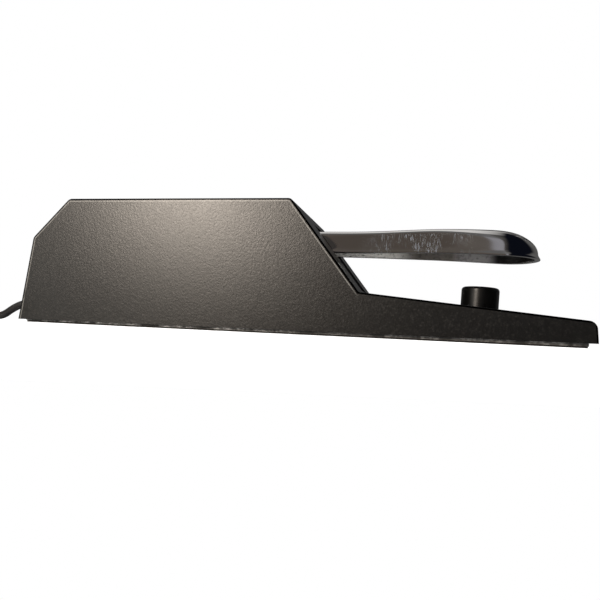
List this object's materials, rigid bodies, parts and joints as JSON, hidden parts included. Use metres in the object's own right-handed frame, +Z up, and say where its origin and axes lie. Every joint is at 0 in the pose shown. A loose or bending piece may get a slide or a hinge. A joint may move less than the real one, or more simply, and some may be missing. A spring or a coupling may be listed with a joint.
{
  "type": "sustain pedal",
  "caption": "Foot-operated sustain switch for a keyboard: black wedge housing, chromed piano-style lever over a rubber bumper, and a thin cord ending in a jack plug.",
  "frame": {"origin": "on the floor under the middle of the pedal itself, without its free cord, coil and plug", "axes": "+X from the cord end to the toe, +Y across to the left side of the player, +Z up"},
  "size_m": [0.3573, 0.102, 0.0559],
  "materials": {
    "housing_plastic": "fine-grained black moulded plastic, satin",
    "plate_steel": "black painted sheet steel, scuffed along its edge",
    "sole_rubber": "matt grey-black rubber sheet",
    "screw_steel": "zinc plated steel",
    "bumper_rubber": "smooth black moulded rubber",
    "lever_chrome": "polished chrome plate with fine scratches",
    "nylon": "natural nylon",
    "shaft_steel": "ground bright steel",
    "spring_steel": "spring steel",
    "bracket_steel": "zinc plated folded sheet",
    "pad_felt": "pressed wool felt",
    "switch_plastic": "black switch housing",
    "plunger_plastic": "red switch plunger",
    "terminal_brass": "tinned brass blade",
    "lead_white": "PVC insulation",
    "lead_black": "PVC insulation",
    "cord_pvc": "soft black PVC jacket",
    "relief_pvc": "moulded soft PVC",
    "tie_pvc": "black PVC tie",
    "plug_pvc": "moulded black PVC grip",
    "plug_nickel": "bright nickel plate",
    "plug_ring": "black insulating ring"
  },
  "bodies": {
    "base": {"housing": "housing_plastic", "base_plate": "plate_steel", "sole": "sole_rubber", "base_screws": "screw_steel", "bumper": "bumper_rubber", "pivot_shaft": "shaft_steel", "shaft_clips": "spring_steel", "pivot_bracket": "bracket_steel", "bracket_rivets": "screw_steel", "return_spring": "spring_steel", "spring_seat": "nylon", "rest_pad": "pad_felt", "switch_body": "switch_plastic", "switch_terminals": "terminal_brass", "switch_screws": "screw_steel", "switch_nuts": "screw_steel", "switch_spacers": "nylon", "signal_lead": "lead_white", "ground_lead": "lead_black", "inner_cord": "cord_pvc", "cord_clamp": "nylon", "clamp_screws": "screw_steel", "strain_relief": "relief_pvc", "cord": "cord_pvc", "cord_coil": "cord_pvc", "cord_tail": "cord_pvc", "cord_tie": "tie_pvc", "plug_body": "plug_pvc", "plug_sleeve": "plug_nickel", "plug_insulator": "plug_ring", "plug_tip": "plug_nickel"},
    "lever": {"pedal": "lever_chrome", "left_bush": "nylon", "right_bush": "nylon"},
    "plunger": {"switch_plunger": "plunger_plastic"}
  },
  "joints": [
    {"name": "pedal_press", "type": "hinge", "parent": "base", "child": "lever", "pos_m": [-0.062, 0, 0.04215], "axis": [0, 1, 0], "range_deg": [0, 6.8], "stiffness_Nm_per_rad": 8, "springref_deg": -8.59, "deforming": ["return_spring"]},
    {"name": "plunger_travel", "type": "slide", "parent": "base", "child": "plunger", "axis": [0, 0, -1], "range_m": [0, 0.0015]}
  ],
  "couplings": [
    {"joint": "plunger_travel", "follows": "pedal_press", "m_per_rad": 0.0103}
  ]
}
